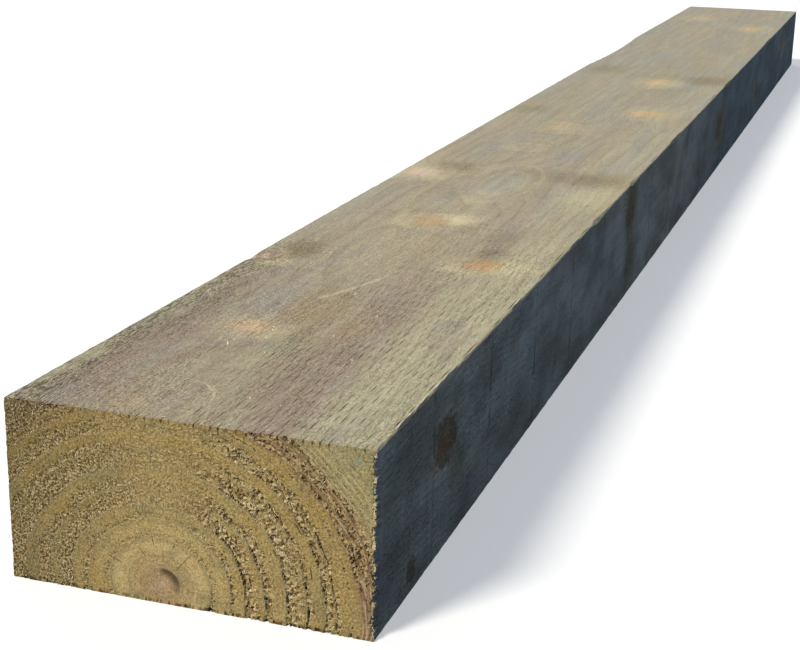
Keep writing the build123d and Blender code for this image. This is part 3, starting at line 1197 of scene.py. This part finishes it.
def dustPoints():
    draw = np.random.default_rng(sawdust["seed"])
    rows = [(*row, math.radians(turn)) for *row, turn in sawdust["chips"]]
    begin, broad = sawdust["across"]
    for i in range(sawdust["count"]):
        along = wholeLength * draw.random() ** sawdust["gather"]
        across = begin + broad * draw.random()
        turn = math.radians(draw.normal(0, sawdust["turn"]))
        along = min(max(along, begin), wholeLength - begin)
        rows.append((along, across, draw.uniform(*sawdust["length"]), draw.uniform(*sawdust["wide"]), turn))
    alongs, acrosses, runs, wides, turns = zip(*rows)
    spots = [(x * mm - halfLength, halfWidth - y * mm, topLevel) for x, y in zip(alongs, acrosses)]
    return pointMesh("dustPoints", spots, run=runs, wide=wides, turn=turns)


def chip():  # a splinter lying flat, 1 long, 1 wide and 1 thick
    verts = [(-0.5, 0, 0.3), (-0.1, -0.5, 0.25), (0.5, 0.05, 0.3), (0.15, 0.5, 0.2), (0.05, 0, 1), (0, 0, 0)]
    faces = [(i, (i + 1) % 4, 4) for i in range(4)] + [((i + 1) % 4, i, 5) for i in range(4)]
    return helperShape("chip", verts, faces)


def scatteredChips():
    tree, points, item, thick, fibre = group(
        "scatteredChips", shapeKind, "Points Geometry, Chip Object, Thick Float, Fibre Material")
    run, wide, turn = (readAttribute(tree, name) for name in ("run", "wide", "turn"))
    laid = instances(points, item, combine(tree, run, wide, thick) * mm, Rotation=combine(tree, 0, 0, turn))
    return finishGroup(tree, Geometry=wear(keepInside(realized(laid)), fibre))


chipShape = chip()
dustPiece = grow("sawdust_chips", dustPoints(), scatteredChips(), Chip=chipShape, Thick=sawdust["thick"],
                 Fibre=fibreWood)
settle(dustPiece)
bpy.data.objects.remove(chipShape)


# camera, floor and light
view = {
    "spot": (-1.82716, -0.31503, 0.36404),
    "turn": (72.975, -1.156, -71.517),
    "lens": 68.77,
    "sensor": 36.0,
    "clip": (0.01, 100.0),
    "keySun": ((-0.66, 0.36, 0.66), (1.0, 0.95, 0.85), 0.815, 14.0),  # from, colour, level, softness
    "backSun": ((0.7, 0.45, 0.5), (1.0, 0.97, 0.92), 0.12, 40.0),
    "sky": (0.14, 0.195, 0.285, 1.0),
    "white": (1.0, 1.0, 1.0, 1.0),
    "floorSeen": (0.62, 0.62, 0.62, 1.0),
    "floorGiven": (0.03, 0.05, 0.09, 1.0),  # what the floor throws back at the timber
    "floorGlow": 0.42,
    "floorReach": 60.0,
}
lens = bpy.data.cameras.new("camera")
lens.lens, lens.sensor_width = view["lens"], view["sensor"]
lens.clip_start, lens.clip_end = view["clip"]
camera = helper("camera", lens)
camera.location = view["spot"]
camera.rotation_euler = Euler([math.radians(a) for a in view["turn"]])
scene.camera = camera

for name in ("keySun", "backSun"):
    toward, colour, level, softness = view[name]
    lamp = bpy.data.lights.new(name, "SUN")
    direction = Vector(toward).normalized()
    lamp.energy = level * math.pi / direction.z
    lamp.color = colour
    lamp.angle = math.radians(softness)
    sun = helper(name, lamp)
    sun.rotation_mode = "QUATERNION"
    sun.rotation_quaternion = direction.to_track_quat("Z", "Y")


def cameraShare(tree):  # 1 for what the camera sees directly or in a reflection
    path = put(tree, "ShaderNodeLightPath")
    share = out(path, "Is Camera Ray")
    for name in ("Is Glossy Ray", "Is Transmission Ray"):
        share = share.work("MAXIMUM", out(path, name))
    return share


world = bpy.data.worlds.new("sky")
scene.world = world
world.use_nodes = True
skyTree = world.node_tree
skyColour = blend(skyTree, cameraShare(skyTree), view["sky"], view["white"])
feed(skyTree.nodes["Background"].inputs["Color"], skyColour)

floorMaterial, floorTree, floorShader = newMaterial("paleFloor")
floorShader.inputs["Specular IOR Level"].default_value = 0.0
seen = cameraShare(floorTree)
dress(floorShader, blend(floorTree, seen, view["floorGiven"], view["floorSeen"]), 1.0)
floorShader.inputs["Emission Color"].default_value = view["white"]
feed(floorShader.inputs["Emission Strength"], seen * view["floorGlow"])
floorMesh = bpy.data.meshes.new("floor")
reach = view["floorReach"]
corners = [(-reach, -reach, 0), (reach, -reach, 0), (reach, reach, 0), (-reach, reach, 0)]
floorMesh.from_pydata(corners, [], [(0, 1, 2, 3)])
floorMesh.materials.append(floorMaterial)
floor = helper("floor", floorMesh)
scene.view_settings.view_transform = "Standard"
print("camera, floor and light set")
